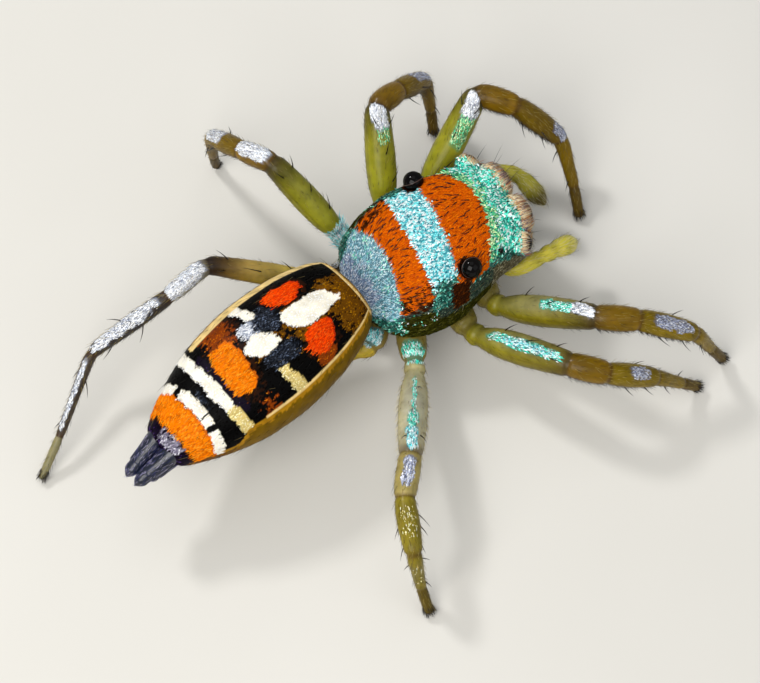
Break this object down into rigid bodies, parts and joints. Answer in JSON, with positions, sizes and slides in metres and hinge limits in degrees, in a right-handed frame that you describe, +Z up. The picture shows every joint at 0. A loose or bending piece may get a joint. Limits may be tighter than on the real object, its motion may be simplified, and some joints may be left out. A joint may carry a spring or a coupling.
{
  "type": "jumping spider",
  "caption": "Life-size still jumping spider with a long slim abdomen, big front eyes and its legs spread on the floor.",
  "frame": {"origin": "middle of the outline in plan, on the floor under the feet", "axes": "+Z up, the head faces -Y, the spider's own left side is +X"},
  "size_m": [0.0106, 0.0128, 0.0031],
  "materials": {
    "carapace": "turquoise and orange scales with a fine metallic glitter",
    "eye": "glossy black lens",
    "abdomen": "short scales in gold, orange, black and cream",
    "spinneret": "blue black with short pale hairs",
    "limb": "glassy olive yellow cuticle",
    "limb_dark": "glassy olive brown cuticle with silver scales",
    "mouth": "glossy brown cuticle"
  },
  "bodies": {
    "root": {"carapace": "carapace", "eye_anterior_median_left": "eye", "eye_anterior_median_right": "eye", "eye_anterior_lateral_left": "eye", "eye_anterior_lateral_right": "eye", "eye_posterior_median_left": "eye", "eye_posterior_median_right": "eye", "eye_posterior_lateral_left": "eye", "eye_posterior_lateral_right": "eye", "sternum": "mouth", "mouthparts": "mouth", "chelicera_left": "mouth", "chelicera_right": "mouth", "pedicel": "mouth", "palp_left_base": "limb", "palp_left_tip": "limb", "palp_right_base": "limb", "palp_right_tip": "limb", "abdomen": "abdomen", "spinneret_upper_left": "spinneret", "spinneret_upper_right": "spinneret", "spinneret_lower_left": "spinneret", "spinneret_lower_right": "spinneret", "leg_left_1_coxa": "limb", "leg_left_1_femur": "limb", "leg_left_1_patella_tibia": "limb_dark", "leg_left_1_metatarsus_tarsus": "limb_dark", "leg_left_2_coxa": "limb", "leg_left_2_femur": "limb", "leg_left_2_patella_tibia": "limb_dark", "leg_left_2_metatarsus_tarsus": "limb_dark", "leg_left_3_coxa": "limb", "leg_left_3_femur": "limb", "leg_left_3_patella_tibia": "limb_dark", "leg_left_3_metatarsus_tarsus": "limb_dark", "leg_left_4_coxa": "limb", "leg_left_4_femur": "limb", "leg_left_4_patella_tibia": "limb_dark", "leg_left_4_metatarsus_tarsus": "limb_dark", "leg_right_1_coxa": "limb", "leg_right_1_femur": "limb", "leg_right_1_patella_tibia": "limb_dark", "leg_right_1_metatarsus_tarsus": "limb_dark", "leg_right_2_coxa": "limb", "leg_right_2_femur": "limb", "leg_right_2_patella_tibia": "limb_dark", "leg_right_2_metatarsus_tarsus": "limb_dark", "leg_right_3_coxa": "limb", "leg_right_3_femur": "limb", "leg_right_3_patella_tibia": "limb_dark", "leg_right_3_metatarsus_tarsus": "limb_dark", "leg_right_4_coxa": "limb", "leg_right_4_femur": "limb", "leg_right_4_patella_tibia": "limb_dark", "leg_right_4_metatarsus_tarsus": "limb_dark"}
  },
  "joints": []
}
